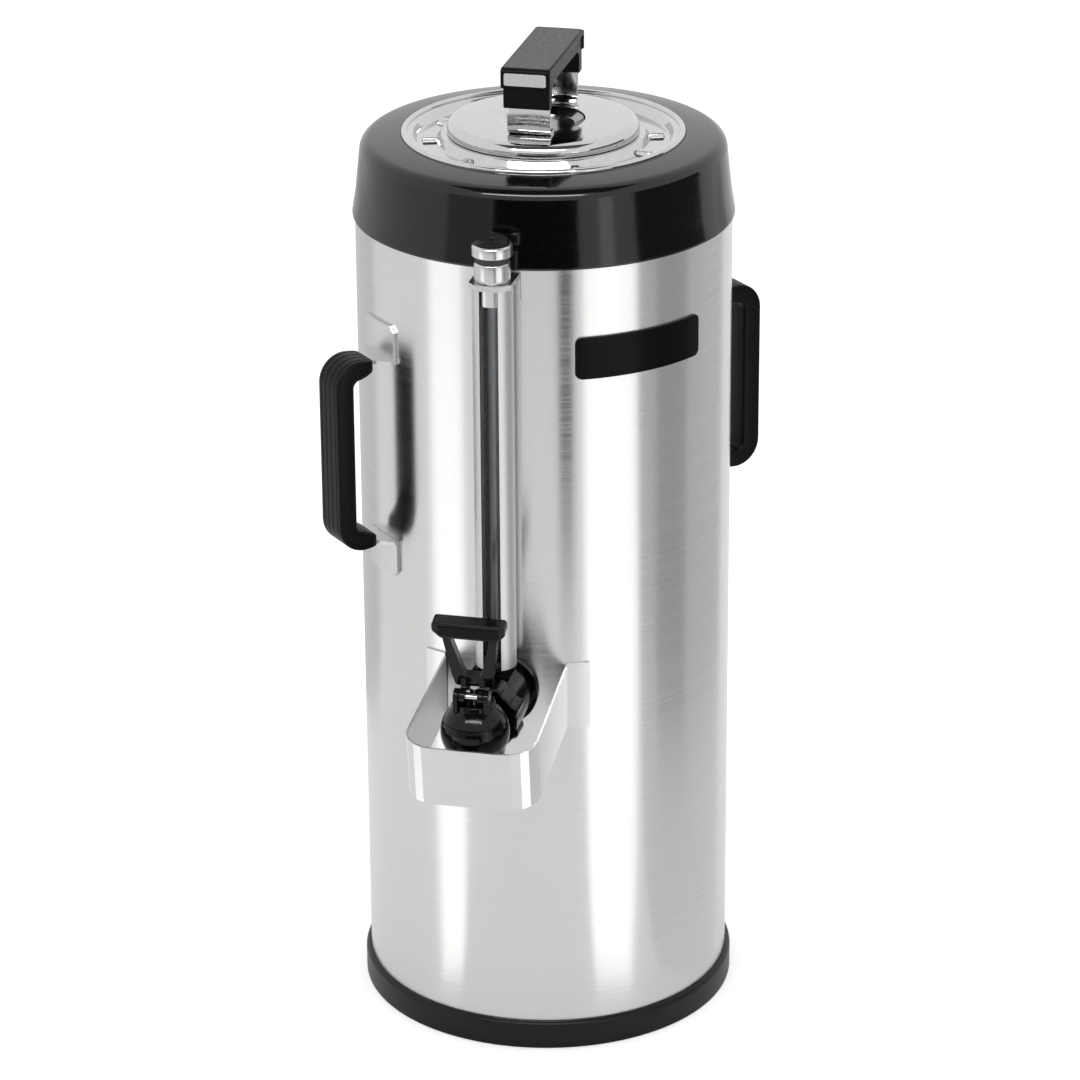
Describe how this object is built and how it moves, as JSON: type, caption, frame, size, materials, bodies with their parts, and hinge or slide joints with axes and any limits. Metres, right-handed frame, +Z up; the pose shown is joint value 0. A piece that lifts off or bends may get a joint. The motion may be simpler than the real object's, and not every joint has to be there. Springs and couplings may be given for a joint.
{
  "type": "insulated coffee dispenser",
  "caption": "Tall insulated steel coffee dispenser with a lift-off lid, side handles, a sight gauge and a guarded front tap that pours by gravity.",
  "frame": {"origin": "centre of the foot's underside, on the axis of the body", "axes": "+Z up along the body axis, -Y toward the tap at the front, +X to the right of someone who faces the tap"},
  "size_m": [0.251, 0.3505, 0.6545],
  "materials": {
    "brushed_steel": "brushed",
    "bright_steel": "polished",
    "black_gloss": "gloss",
    "black_matt": "satin",
    "seal_rubber": "matt",
    "gauge_glass": "clear"
  },
  "bodies": {
    "dispenser": {"base_foot": "black_matt", "outer_shell": "brushed_steel", "support_ring": "brushed_steel", "vacuum_jacket": "brushed_steel", "inner_vessel": "bright_steel", "vessel_shoulder": "bright_steel", "vessel_neck": "bright_steel", "outlet_tube": "brushed_steel", "top_collar": "black_gloss", "neck_seal": "seal_rubber", "mouth_ring": "bright_steel", "handle_strap_left": "brushed_steel", "handle_strap_right": "brushed_steel", "handle_grip_left": "black_matt", "handle_grip_right": "black_matt", "badge_plate": "black_gloss", "gauge_bracket": "bright_steel", "gauge_head": "bright_steel", "gauge_seals": "seal_rubber", "gauge_shield": "brushed_steel", "gauge_glass": "gauge_glass", "tap_shank": "black_gloss", "shank_washer": "seal_rubber", "coupling_nut": "black_gloss", "tap_body": "black_gloss", "tap_bonnet": "black_gloss", "lever_pin": "brushed_steel", "tap_spring": "brushed_steel", "tap_guard": "brushed_steel"},
    "lid": {"lid_disc": "bright_steel", "lid_plug": "black_matt", "lid_gasket": "seal_rubber", "lid_strap": "bright_steel", "lid_grip": "black_matt"},
    "gauge_cap": {"gauge_cap": "bright_steel", "gauge_vent": "black_matt"},
    "tap_lever": {"tap_lever": "black_gloss"},
    "tap_stem": {"tap_stem": "brushed_steel", "valve_cup": "seal_rubber"}
  },
  "joints": [
    {"name": "lid_lift", "type": "slide", "parent": "dispenser", "child": "lid", "axis": [0, 0, 1], "range_m": [0, 0.12]},
    {"name": "gauge_cap_turn", "type": "hinge", "parent": "dispenser", "child": "gauge_cap", "pos_m": [0, -0.14, 0.5625], "axis": [0, 0, 1], "continuous": true},
    {"name": "tap_lever_tilt", "type": "hinge", "parent": "dispenser", "child": "tap_lever", "pos_m": [0, -0.205, 0.292], "axis": [1, 0, 0], "range_deg": [0, 35], "stiffness_Nm_per_rad": 0.4, "springref_deg": -17.19},
    {"name": "tap_stem_lift", "type": "slide", "parent": "dispenser", "child": "tap_stem", "axis": [0, 0, 1], "range_m": [0, 0.0049], "deforming": ["tap_spring"]}
  ],
  "couplings": [
    {"joint": "tap_stem_lift", "follows": "tap_lever_tilt", "m_per_rad": 0.00802}
  ]
}
